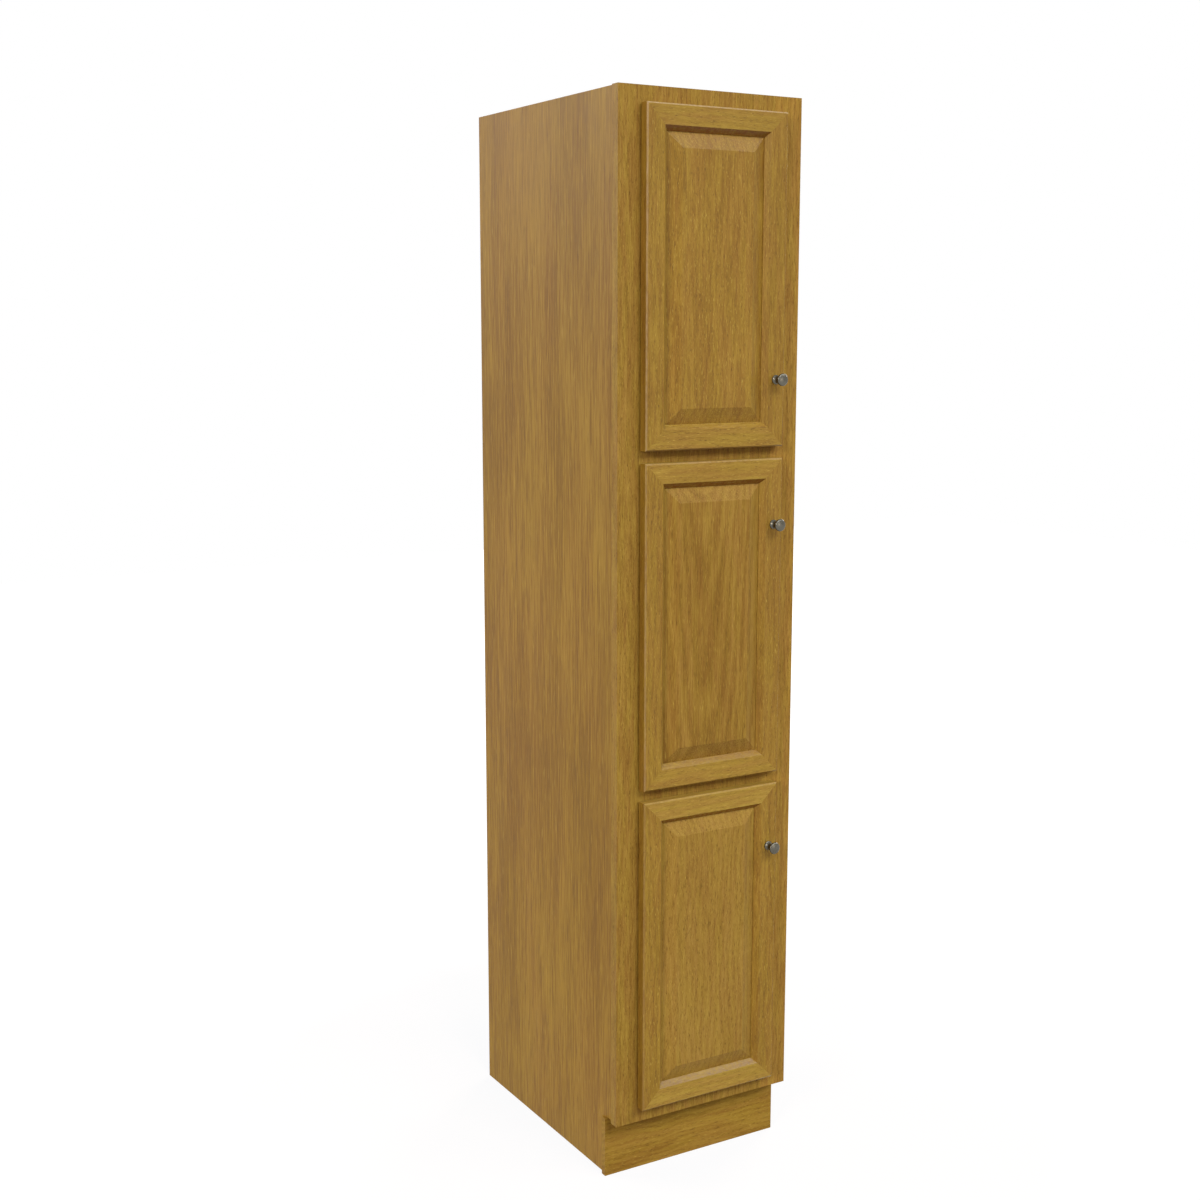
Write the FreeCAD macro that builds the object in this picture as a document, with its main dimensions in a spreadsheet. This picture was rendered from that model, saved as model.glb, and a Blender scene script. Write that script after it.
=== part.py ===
import FreeCAD, Part
import math
import os
import re

import Sketcher

# Linen cabinet: a face-frame box on a recessed toe kick, with three raised-panel doors in one column.
# Lengths are in millimetres. +Z is up, +X is to the right as seen from the front, the front faces -Y.
# The origin is on the floor, under the middle of the whole object with its doors and knobs.

SIZES = {
    # Whole cabinet: depth runs from the front of the face frame to the back
    "CabinetWidth": 381,
    "CabinetDepth": 533.4,
    "FrameHeight": 1854.2,
    "ToeHeight": 114.3,
    "ToeRecess": 40,
    "ToeThickness": 12,
    # Boards of the box
    "PanelThickness": 12.7,
    "BackThickness": 6.35,
    "DadoDepth": 6.35,
    "ShelfThickness": 15.875,
    "ShelfSetback": 12,
    "ShelfSideGap": 1.5,
    "NailerHeight": 76.2,
    "NailerThickness": 19.05,
    # Face frame, which stands proud of the side panels by its overhang
    "FrameThickness": 19.05,
    "FrameOverhang": 6.35,
    "FrameDowelRadius": 4,
    "FrameDowelLength": 40,
    "FrameDowelSpread": 10,
    # Doors: three of one size, laid over the edges of the frame's openings
    "DoorWidth": 292.1,
    "DoorHeight": 584.2,
    "DoorThickness": 19.05,
    "DoorSpacing": 21.6,
    "DoorOverlay": 12.7,
    "DoorStandoff": 3,
    "BottomReveal": 29.2,
    # Mitred door frame, in section
    "MemberWidth": 44.45,
    "MemberFlat": 35.6,
    "EdgeChamfer": 2.5,
    "InnerChamferDepth": 9.5,
    "GrooveFront": 10.5,
    "GrooveWidth": 5.5,
    "GrooveDepth": 9,
    "CornerDowelRadius": 3,
    "CornerDowelLength": 20,
    "CornerDowelFirst": 12,
    "CornerDowelStep": 14,
    # Raised panel, loose in the door frame's groove
    "PanelGap": 0.3,
    "FieldSetback": 0.8,
    "BevelWidth": 27,
    # Knob and its screw
    "KnobInset": 19,
    "KnobFromEnd": 119.5,
    "KnobReach": 24.8,
    "KnobBaseRadius": 8.3,
    "KnobBaseRim": 2,
    "KnobNeckRadius": 4.2,
    "KnobNeckStart": 9.5,
    "KnobNeckEnd": 14,
    "KnobHeadRadius": 10.9,
    "KnobHeadStart": 19.7,
    "KnobFaceRadius": 9.4,
    "KnobFaceRise": 1.5,
    "KnobCoveRadius": 10.8,
    "KnobFlareRadius": 8.1,
    "KnobRimRadius": 2.7,
    "KnobBoreRadius": 2,
    "KnobBoreDepth": 11,
    "KnobScrewRadius": 1.95,
    "KnobScrewReach": 9,
    "KnobScrewHeadRadius": 4.2,
    "KnobScrewHeadHeight": 2.3,
    "KnobHoleGap": 0.4,
    # Soft stops behind the free edge of each door
    "BumperRadius": 4.2,
    "BumperTipRadius": 3.4,
    "BumperHeight": 2.6,
    "BumperInset": 6.35,
    "BumperFromEnd": 24,
    # Concealed hinge: a round cup let into the door, and an arm fixed to the frame's inner edge
    "HingeInset": 80,
    "CupRadius": 13,
    "CupDepth": 13,
    "CupCentre": 16,
    "CupWall": 0.8,
    "CupFloor": 0.6,
    "CheekStart": 5.5,
    "CheekEnd": 11,
    "CheekInner": 4.3,
    "CheekOuter": 7.5,
    "FlangeRadius": 13.8,
    "FlangeThickness": 1,
    "EarHalfWidth": 6,
    "EarReach": 24,
    "EarScrewReach": 19.5,
    "PinFromEdge": 7.2,
    "PinFromBack": 9.8,
    "PinRadius": 1.25,
    "KnuckleRadius": 2.2,
    "KnuckleLength": 8,
    "ArmWidth": 7,
    "ArmThickness": 1.8,
    "RiserOuter": 23.5,
    "FootBack": 10,
    "PlateThickness": 2,
    "PlateStart": 5,
    "PlateEnd": 20,
    "PlateLength": 40,
    "PlateScrewDepth": 14.5,
    "PlateScrewReach": 13,
    "ScrewRadius": 1.95,
    "ScrewLength": 13.5,
    "ScrewHeadRadius": 3.5,
    "ScrewHeadHeight": 1.6,
    "ScrewHoleRadius": 2.1,
    # Pegs that carry the adjustable shelves, in drilled rows
    "PegRadius": 2.45,
    "PegDepth": 8.5,
    "PegHeadRadius": 3.4,
    "PegHeadLength": 7,
    "PegHoleRadius": 2.5,
    "PegHoleDepth": 9,
    "PegFromFrame": 60,
    "PegFromBack": 90,
    "PegFirstRow": 190,
    "PegRowStep": 50,
    # Fits
    "FitGap": 0.05,
    "RunningGap": 0.05,
    "DowelEndGap": 0.5,
}

LEVELS = ("bottom", "middle", "top")
PEG_ROWS = 5
SHELF_ROW = 2
DOWELS_PER_MITRE = 2
SIDES = (-1, 1)
# A screw's head is upright for this share of its height, and its crown has this share of its radius
HEAD_RIM_SHARE = 0.35
HEAD_CROWN_SHARE = 0.65
FULL_TURN = 360
QUARTER_TURN = 90
EIGHTH_TURN = 45

# Rotations that take a piece's own Z axis to the named direction
TO_RIGHT = FreeCAD.Rotation(FreeCAD.Vector(0, 1, 0), QUARTER_TURN)
TO_LEFT = FreeCAD.Rotation(FreeCAD.Vector(0, 1, 0), -QUARTER_TURN)
TO_FRONT = FreeCAD.Rotation(FreeCAD.Vector(1, 0, 0), QUARTER_TURN)
TO_BACK = FreeCAD.Rotation(FreeCAD.Vector(1, 0, 0), -QUARTER_TURN)
UPRIGHT = FreeCAD.Rotation()

# Planes and edges of the cabinet, worked out from the sizes above
BACK_Y = "((CabinetDepth + DoorStandoff + DoorThickness + KnobReach) / 2)"
FRONT_Y = f"({BACK_Y} - CabinetDepth)"
FRAME_BACK_Y = f"({FRONT_Y} + FrameThickness)"
FRAME_MIDDLE_Y = f"({FRONT_Y} + FrameThickness / 2)"
INSIDE_BACK_Y = f"({BACK_Y} - BackThickness)"
TOE_FRONT_Y = f"({FRONT_Y} + ToeRecess)"
TOE_BACK_Y = f"({TOE_FRONT_Y} + ToeThickness)"
DOOR_BACK_Y = f"({FRONT_Y} - DoorStandoff)"
DOOR_FRONT_Y = f"({DOOR_BACK_Y} - DoorThickness)"
SIDE_OUTER_X = "(CabinetWidth / 2 - FrameOverhang)"
SIDE_INNER_X = f"({SIDE_OUTER_X} - PanelThickness)"
DADO_X = f"({SIDE_INNER_X} + DadoDepth)"
OPENING_X = "(DoorWidth / 2 - DoorOverlay)"
TOP_Z = "(ToeHeight + FrameHeight)"
PEG_FRONT_Y = f"({FRAME_BACK_Y} + PegFromFrame)"
PEG_BACK_Y = f"({BACK_Y} - PegFromBack)"

doc = FreeCAD.newDocument("LinenCabinet")
sheet = doc.addObject("Spreadsheet::Sheet", "Sizes")
nodes = []


def fill_sheet():
    """Write each driving dimension to its own cell, under its name."""
    for row, (alias, size) in enumerate(SIZES.items(), start=1):
        cell = f"A{row}"
        sheet.set(cell, str(size))
        sheet.setAlias(cell, alias)
    doc.recompute()


def formula(words):
    """Turn a size written with the names above into an expression on the sheet."""
    return re.sub(r"[A-Z][A-Za-z]+", r"Sizes.\g<0>", words)


def value(words):
    return float(sheet.evalExpression(formula(words)))


def bind(item, **sizes):
    for name, words in sizes.items():
        item.setExpression(name, formula(words))


def place(item, position, rotation=UPRIGHT):
    item.Placement = FreeCAD.Placement(FreeCAD.Vector(), rotation)
    for axis, words in zip("xyz", position):
        item.setExpression(f"Placement.Base.{axis}", formula(words))


def add(kind, label):
    item = doc.addObject(kind, label)
    item.Label = label
    return item


def node(item):
    nodes.append(item)
    return item


def box(label, low, high):
    """A board between two corners."""
    item = add("Part::Box", label)
    for name, start, end in zip(("Length", "Width", "Height"), low, high):
        item.setExpression(name, formula(f"({end}) - ({start})"))
    place(item, low)
    return item


def rod(label, radius, length, start, rotation):
    item = add("Part::Cylinder", label)
    bind(item, Radius=radius, Height=length)
    place(item, start, rotation)
    return item


def group(label, members):
    item = add("Part::Compound", label)
    item.Links = members
    return item


def cut(label, base, tool):
    item = add("Part::Cut", label)
    item.Base = base
    item.Tool = tool
    return item


def fuse(label, base, tool):
    item = add("Part::Fuse", label)
    item.Base = base
    item.Tool = tool
    item.Refine = True
    return item


def copy(master, label, position, rotation=UPRIGHT):
    """The same piece again in another place."""
    item = add("App::Link", label)
    item.LinkedObject = master
    place(item, position, rotation)
    return item


def new_sketch(body, role, name):
    sketch = body.newObject("Sketcher::SketchObject", name)
    plane = [feature for feature in body.Origin.OriginFeatures if feature.Role == role][0]
    sketch.AttachmentSupport = [(plane, "")]
    sketch.MapMode = "FlatFace"
    return sketch


def arc_middle(start, end, radius, side):
    """The middle of an arc shorter than a half circle, bulging to the left or right of its chord."""
    chord = end - start
    rise = radius - math.sqrt(radius * radius - chord.Length * chord.Length / 4)
    across = FreeCAD.Vector(-chord.y, chord.x, 0).normalize()
    return (start + end) / 2 + across * rise * side


def outline(sketch, corners, arcs=None):
    """Draw a closed outline through the corners; arcs holds a radius and side for each curved stretch."""
    arcs = arcs or {}
    points = [FreeCAD.Vector(value(across), value(up), 0) for across, up in corners]
    ends = []
    for index, start in enumerate(points):
        end = points[(index + 1) % len(points)]
        if index in arcs:
            radius, side = arcs[index]
            line = Part.Arc(start, arc_middle(start, end, value(radius), side), end)
        else:
            line = Part.LineSegment(start, end)
        edge = sketch.addGeometry(line)
        to_first = sketch.getPoint(edge, 1).distanceToPoint(start)
        to_last = sketch.getPoint(edge, 2).distanceToPoint(start)
        ends.append((edge, 1, 2) if to_first < to_last else (edge, 2, 1))
        if index in arcs:
            bound = sketch.addConstraint(Sketcher.Constraint("Radius", edge, value(arcs[index][0])))
            sketch.setExpression(f"Constraints[{bound}]", formula(arcs[index][0]))
    for index, (edge, first, last) in enumerate(ends):
        following = ends[(index + 1) % len(ends)]
        sketch.addConstraint(Sketcher.Constraint("Coincident", edge, last, following[0], following[1]))
        for kind, words in zip(("DistanceX", "DistanceY"), corners[index]):
            bound = sketch.addConstraint(Sketcher.Constraint(kind, -1, 1, edge, first, value(words)))
            sketch.setExpression(f"Constraints[{bound}]", formula(words))


def rectangle(sketch, low, high):
    outline(sketch, [(low[0], low[1]), (high[0], low[1]), (high[0], high[1]), (low[0], high[1])])


def circle(sketch, centre, radius):
    middle = FreeCAD.Vector(value(centre[0]), value(centre[1]), 0)
    edge = sketch.addGeometry(Part.Circle(middle, FreeCAD.Vector(0, 0, 1), value(radius)))
    bound = sketch.addConstraint(Sketcher.Constraint("Radius", edge, value(radius)))
    sketch.setExpression(f"Constraints[{bound}]", formula(radius))
    for kind, words in zip(("DistanceX", "DistanceY"), centre):
        bound = sketch.addConstraint(Sketcher.Constraint(kind, -1, 1, edge, 3, value(words)))
        sketch.setExpression(f"Constraints[{bound}]", formula(words))


def extrude(kind, body, sketch, length, side_type="One side", is_reversed=False):
    """Pad or pocket a sketch, one way or evenly both ways."""
    feature = body.newObject(f"PartDesign::{kind}", f"{sketch.Name}{kind}")
    feature.Profile = sketch
    feature.SideType = side_type
    feature.Reversed = is_reversed
    bind(feature, Length=length)
    return feature


def revolve(body, sketch):
    """Turn a sketch of radius and height a full turn about its upright axis."""
    feature = body.newObject("PartDesign::Revolution", f"{sketch.Name}Turn")
    feature.Profile = sketch
    feature.ReferenceAxis = (sketch, ["V_Axis"])
    feature.Angle = FULL_TURN
    return feature


def door_bottom(level):
    return f"(ToeHeight + BottomReveal + {level} * (DoorHeight + DoorSpacing))"


def door_middle(level):
    return f"({door_bottom(level)} + DoorHeight / 2)"


def opening_bottom(level):
    return f"({door_bottom(level)} + DoorOverlay)"


def opening_top(level):
    return f"({door_bottom(level)} + DoorHeight - DoorOverlay)"


def hinge_heights(level):
    return [f"({door_middle(level)} + {end} * (DoorHeight / 2 - HingeInset))" for end in SIDES]


def peg_height(level, row):
    return f"({opening_bottom(level)} + PegFirstRow + {row} * PegRowStep)"


def board_below(top):
    """The height span of a board of the box whose upper face is at the given height."""
    return f"({top} - PanelThickness)", top


# Fixed boards across the box, from the floor of the lowest compartment up to the top
CROSS_BOARDS = {
    "bottom_panel": board_below(opening_bottom(0)),
    "lower_fixed_shelf": board_below(opening_bottom(1)),
    "upper_fixed_shelf": board_below(opening_bottom(2)),
    "top_panel": board_below(TOP_Z),
}

# Rails of the face frame, each between the door openings below and above it
FRAME_RAILS = {
    "bottom_frame_rail": ("ToeHeight", opening_bottom(0)),
    "lower_frame_rail": (opening_top(0), opening_bottom(1)),
    "upper_frame_rail": (opening_top(1), opening_bottom(2)),
    "top_frame_rail": (opening_top(2), TOP_Z),
}


def peg_holes(side):
    """Drilled rows for the shelf pegs in one side panel, two columns in each compartment."""
    start_x = SIDE_INNER_X if side > 0 else f"-({SIDE_INNER_X} + PegHoleDepth)"
    holes = []
    for level in range(len(LEVELS)):
        for row in range(PEG_ROWS):
            for column_y in (PEG_FRONT_Y, PEG_BACK_Y):
                start = (start_x, column_y, peg_height(level, row))
                holes.append(rod("peg_hole", "PegHoleRadius", "PegHoleDepth", start, TO_RIGHT))
    return holes


def side_panel(label, side):
    """A side with its toe notch, dadoes for the cross boards, rabbet for the back, and peg holes."""
    outer, inner, dado = (f"{side} * {x}" for x in (SIDE_OUTER_X, SIDE_INNER_X, DADO_X))
    left, right = (inner, outer) if side > 0 else (outer, inner)
    cut_left, cut_right = (inner, dado) if side > 0 else (dado, inner)
    blank = box(f"{label}_blank", (left, FRAME_BACK_Y, "0"), (right, BACK_Y, TOP_Z))
    tools = [
        box("toe_notch", (left, FRAME_BACK_Y, "0"), (right, TOE_BACK_Y, "ToeHeight")),
        box("back_rabbet", (cut_left, INSIDE_BACK_Y, "0"), (cut_right, BACK_Y, TOP_Z)),
    ]
    for low, high in CROSS_BOARDS.values():
        tools.append(box("dado", (cut_left, FRAME_BACK_Y, low), (cut_right, INSIDE_BACK_Y, high)))
    return node(cut(label, blank, group(f"{label}_cuts", tools + peg_holes(side))))


def box_boards():
    """The boards that run across the box, and the toe kick under its front."""
    for label, (low, high) in CROSS_BOARDS.items():
        node(box(label, (f"-{DADO_X}", FRAME_BACK_Y, low), (DADO_X, INSIDE_BACK_Y, high)))
    node(box("back_panel", (f"-{DADO_X}", INSIDE_BACK_Y, "0"), (DADO_X, BACK_Y, TOP_Z)))
    toe_low = ("-CabinetWidth / 2", TOE_FRONT_Y, "0")
    toe_high = ("CabinetWidth / 2", TOE_BACK_Y, "ToeHeight")
    node(box("toe_kick_board", toe_low, toe_high))


def nailer(label, top):
    """A rail against the back, under a cross board, for screws into a wall."""
    low = (f"-{SIDE_INNER_X}", f"{INSIDE_BACK_Y} - NailerThickness", f"{top} - NailerHeight")
    node(box(label, low, (SIDE_INNER_X, INSIDE_BACK_Y, top)))


def adjustable_shelf(label, level):
    bottom = f"({peg_height(level, SHELF_ROW)} + PegHeadRadius + FitGap)"
    half = f"({SIDE_INNER_X} - ShelfSideGap)"
    low = (f"-{half}", f"{FRAME_BACK_Y} + ShelfSetback", bottom)
    high = (half, f"{INSIDE_BACK_Y} - ShelfSetback", f"{bottom} + ShelfThickness")
    node(box(label, low, high))


def shelf_pins():
    """Four pegs under each adjustable shelf."""
    master = add("PartDesign::Body", "shelf_pin_master")
    sketch = new_sketch(master, "XZ_Plane", "ShelfPinSketch")
    outline(sketch, [
        ("0", "-PegDepth"),
        ("PegRadius", "-PegDepth"),
        ("PegRadius", "0"),
        ("PegHeadRadius", "0"),
        ("PegHeadRadius", "PegHeadLength"),
        ("0", "PegHeadLength"),
    ])
    revolve(master, sketch)
    pins = []
    for level in range(len(LEVELS)):
        for side, rotation in zip(SIDES, (TO_RIGHT, TO_LEFT)):
            for column_y in (PEG_FRONT_Y, PEG_BACK_Y):
                position = (f"{side} * {SIDE_INNER_X}", column_y, peg_height(level, SHELF_ROW))
                pins.append(copy(master, "shelf_pin", position, rotation))
    node(group("shelf_pins", pins))


def frame_dowels(label, radius, length):
    """Two dowels across each joint between a rail and a stile."""
    dowels = []
    for low, high in FRAME_RAILS.values():
        for side in SIDES:
            for spread in SIDES:
                start = (
                    f"{side} * {OPENING_X} - ({length}) / 2",
                    FRAME_MIDDLE_Y,
                    f"({low} + {high}) / 2 + {spread} * FrameDowelSpread",
                )
                dowels.append(rod(f"{label}_rod", radius, length, start, TO_RIGHT))
    return group(label, dowels)


def frame_screw_holes():
    """Pilot holes for the hinge arms, in the inner edge of the left stile."""
    holes = []
    for level in range(len(LEVELS)):
        for height in hinge_heights(level):
            for end in SIDES:
                start = (
                    f"-{OPENING_X} - ScrewLength",
                    f"{DOOR_BACK_Y} + PlateScrewDepth",
                    f"{height} + {end} * PlateScrewReach",
                )
                hole = rod("frame_screw_hole", "ScrewRadius + FitGap", "ScrewLength", start, TO_RIGHT)
                holes.append(hole)
    return holes


def face_frame():
    """Two stiles and four rails, joined by dowels in matching holes."""
    node(frame_dowels("frame_dowels", "FrameDowelRadius", "FrameDowelLength"))
    hole_length = "FrameDowelLength + 2 * DowelEndGap"
    dowel_holes = frame_dowels("frame_dowel_holes", "FrameDowelRadius + FitGap", hole_length)
    left_holes = group("left_stile_holes", [dowel_holes] + frame_screw_holes())
    left_low = ("-CabinetWidth / 2", FRONT_Y, "ToeHeight")
    left_blank = box("left_stile_blank", left_low, (f"-{OPENING_X}", FRAME_BACK_Y, TOP_Z))
    node(cut("left_frame_stile", left_blank, left_holes))
    right_high = ("CabinetWidth / 2", FRAME_BACK_Y, TOP_Z)
    right_blank = box("right_stile_blank", (OPENING_X, FRONT_Y, "ToeHeight"), right_high)
    node(cut("right_frame_stile", right_blank, dowel_holes))
    for label, (low, high) in FRAME_RAILS.items():
        blank = box(f"{label}_blank", (f"-{OPENING_X}", FRONT_Y, low), (OPENING_X, FRAME_BACK_Y, high))
        node(cut(label, blank, dowel_holes))


def door_member(label, length, position, turn):
    """A mitred door stile or rail, drawn lying with its outer edge on X and its front face up."""
    body = add("PartDesign::Body", label)
    blank = new_sketch(body, "XY_Plane", f"{label}_mitres")
    half = f"{length} / 2"
    outline(blank, [
        (f"-{half}", "0"),
        (half, "0"),
        (f"{half} - MemberWidth", "MemberWidth"),
        (f"-{half} + MemberWidth", "MemberWidth"),
    ])
    extrude("Pad", body, blank, "DoorThickness")
    moulding = new_sketch(body, "YZ_Plane", f"{label}_moulding")
    outline(moulding, [
        ("0", "DoorThickness"),
        ("0", "DoorThickness - EdgeChamfer"),
        ("EdgeChamfer", "DoorThickness"),
    ])
    outline(moulding, [
        ("MemberFlat", "DoorThickness"),
        ("MemberWidth", "DoorThickness - InnerChamferDepth"),
        ("MemberWidth", "DoorThickness"),
    ])
    groove_top = "DoorThickness - GrooveFront"
    groove_low = ("MemberWidth - GrooveDepth", f"{groove_top} - GrooveWidth")
    rectangle(moulding, groove_low, ("MemberWidth", groove_top))
    extrude("Pocket", body, moulding, length, "Symmetric")
    rotation = FreeCAD.Rotation(FreeCAD.Vector(0, 1, 0), turn).multiply(TO_FRONT)
    place(body, position, rotation)
    return body


def corner_dowels(label, level, radius, length):
    """Two dowels square across each mitre of a door frame."""
    reach = f"({length}) / 2 * sin({EIGHTH_TURN})"
    dowels = []
    for across in SIDES:
        for up in SIDES:
            slant = across * up
            rotation = FreeCAD.Rotation(FreeCAD.Vector(0, 1, 0), QUARTER_TURN + slant * EIGHTH_TURN)
            for step in range(DOWELS_PER_MITRE):
                inset = f"(CornerDowelFirst + {step} * CornerDowelStep)"
                start = (
                    f"{across} * (DoorWidth / 2 - {inset}) - {reach}",
                    f"{DOOR_BACK_Y} - DoorThickness / 2",
                    f"{door_middle(level)} + {up} * (DoorHeight / 2 - {inset}) + {slant} * {reach}",
                )
                dowels.append(rod(f"{label}_rod", radius, length, start, rotation))
    return group(label, dowels)


def cup_screw_places(level, depth):
    """Where the screws of a door's hinge cups stand, at a given depth behind the door."""
    x = "-DoorWidth / 2 + CupCentre"
    y = f"{DOOR_BACK_Y} + {depth}"
    return [(x, y, f"{height} + {end} * EarScrewReach") for height in hinge_heights(level) for end in SIDES]


def knob_place(level, y):
    """Knobs stand near the lower end of the top door and near the upper end of the others."""
    end = -1 if LEVELS[level] == "top" else 1
    return "DoorWidth / 2 - KnobInset", y, f"{door_middle(level)} + {end} * (DoorHeight / 2 - KnobFromEnd)"


def door_holes(door, level):
    """Everything that is bored out of one door's frame."""
    dowel_length = "CornerDowelLength + 2 * DowelEndGap"
    holes = [corner_dowels(f"{door}_dowel_holes", level, "CornerDowelRadius + FitGap", dowel_length)]
    for height in hinge_heights(level):
        start = ("-DoorWidth / 2 + CupCentre", DOOR_BACK_Y, height)
        holes.append(rod("cup_hole", "CupRadius + FitGap", "CupDepth + FitGap", start, TO_FRONT))
    for start in cup_screw_places(level, "0"):
        holes.append(rod("cup_screw_hole", "ScrewRadius + FitGap", "ScrewLength", start, TO_FRONT))
    knob_start = knob_place(level, DOOR_BACK_Y)
    holes.append(rod("knob_hole", "KnobScrewRadius + KnobHoleGap", "DoorThickness", knob_start, TO_FRONT))
    return group(f"{door}_holes", holes)


def raised_panel(label, level):
    """A panel whose tongue sits in the door frame's groove and whose bevels rise to a flat field."""
    half_width = "(DoorWidth / 2 - MemberWidth - PanelGap)"
    half_height = "(DoorHeight / 2 - MemberWidth - PanelGap)"
    tongue = "(GrooveDepth - PanelGap)"
    middle = door_middle(level)
    tongue_front = f"({DOOR_FRONT_Y} + GrooveFront + PanelGap)"
    tongue_back = f"({DOOR_FRONT_Y} + GrooveFront + GrooveWidth - PanelGap)"
    low = (f"-{half_width} - {tongue}", tongue_front, f"{middle} - {half_height} - {tongue}")
    high = (f"{half_width} + {tongue}", tongue_back, f"{middle} + {half_height} + {tongue}")
    slab = box(f"{label}_tongue", low, high)
    field = add("Part::Wedge", f"{label}_field")
    bind(field, Xmin=f"-{half_width}", Xmax=half_width, Zmin=f"-{half_height}", Zmax=half_height)
    bind(field, X2min=f"-{half_width} + BevelWidth", X2max=f"{half_width} - BevelWidth")
    bind(field, Z2min=f"-{half_height} + BevelWidth", Z2max=f"{half_height} - BevelWidth")
    bind(field, Ymin="0", Ymax="GrooveFront + PanelGap - FieldSetback")
    half_turn = FreeCAD.Rotation(FreeCAD.Vector(0, 0, 1), 2 * QUARTER_TURN)
    place(field, ("0", tongue_front, middle), half_turn)
    node(fuse(label, slab, field))


def knob_master():
    """A round knob with a flared foot, a thin neck, a broad rounded head and a threaded bore."""
    body = add("PartDesign::Body", "knob_master")
    sketch = new_sketch(body, "XZ_Plane", "KnobSketch")
    dome_radius = "(KnobFaceRadius ^ 2 + KnobFaceRise ^ 2) / (2 * KnobFaceRise)"
    corners = [
        ("KnobBoreRadius", "0"),
        ("KnobBaseRadius", "0"),
        ("KnobBaseRadius", "KnobBaseRim"),
        ("KnobNeckRadius", "KnobNeckStart"),
        ("KnobNeckRadius", "KnobNeckEnd"),
        ("KnobHeadRadius", "KnobHeadStart"),
        ("KnobFaceRadius", "KnobReach - KnobFaceRise"),
        ("0", "KnobReach"),
        ("0", "KnobBoreDepth"),
        ("KnobBoreRadius", "KnobBoreDepth"),
    ]
    outline(sketch, corners, {
        2: ("KnobCoveRadius", 1),
        4: ("KnobFlareRadius", 1),
        5: ("KnobRimRadius", -1),
        6: (dome_radius, -1),
    })
    revolve(body, sketch)
    return body


def screw_master(label, radius, length, head):
    """A pan-head screw standing on the origin, head up and point down."""
    head_radius, head_height = head
    body = add("PartDesign::Body", label)
    sketch = new_sketch(body, "XZ_Plane", f"{label}Sketch")
    outline(sketch, [
        ("0", f"-({length})"),
        (radius, f"-({length}) + 2 * {radius}"),
        (radius, "0"),
        (head_radius, "0"),
        (head_radius, f"{HEAD_RIM_SHARE} * {head_height}"),
        (f"{HEAD_CROWN_SHARE} * {head_radius}", head_height),
        ("0", head_height),
    ])
    revolve(body, sketch)
    return body


def hinge_cup_master():
    """A hinge cup: origin on the door's back face at its hinge edge, X across the door, Y into the box."""
    body = add("PartDesign::Body", "hinge_cup_master")
    centre = ("CupCentre", "0")
    shell = new_sketch(body, "XZ_Plane", "CupShell")
    circle(shell, centre, "CupRadius")
    extrude("Pad", body, shell, "CupDepth")
    flange = new_sketch(body, "XZ_Plane", "CupFlange")
    circle(flange, centre, "FlangeRadius")
    extrude("Pad", body, flange, "FlangeThickness", is_reversed=True)
    ears = new_sketch(body, "XZ_Plane", "CupEars")
    rectangle(ears, ("CupCentre - EarHalfWidth", "-EarReach"), ("CupCentre + EarHalfWidth", "EarReach"))
    extrude("Pad", body, ears, "FlangeThickness", is_reversed=True)
    hollow = new_sketch(body, "XZ_Plane", "CupHollow")
    circle(hollow, centre, "CupRadius - CupWall")
    extrude("Pocket", body, hollow, "2 * (CupDepth - CupFloor)", "Symmetric")
    screw_holes = new_sketch(body, "XZ_Plane", "EarHoles")
    for end in SIDES:
        circle(screw_holes, ("CupCentre", f"{end} * EarScrewReach"), "ScrewHoleRadius")
    extrude("Pocket", body, screw_holes, "2 * CupDepth", "Symmetric")
    cheeks = new_sketch(body, "XZ_Plane", "CupCheeks")
    rectangle(cheeks, ("CheekStart", "CheekInner"), ("CheekEnd", "CheekOuter"))
    rectangle(cheeks, ("CheekStart", "-CheekOuter"), ("CheekEnd", "-CheekInner"))
    extrude("Pad", body, cheeks, "CupDepth - CupFloor / 2")
    pin_hole = new_sketch(body, "XY_Plane", "CupPinHole")
    circle(pin_hole, ("PinFromEdge", "-PinFromBack"), "PinRadius + FitGap / 2")
    extrude("Pocket", body, pin_hole, "2 * CheekOuter", "Symmetric")
    return body


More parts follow.
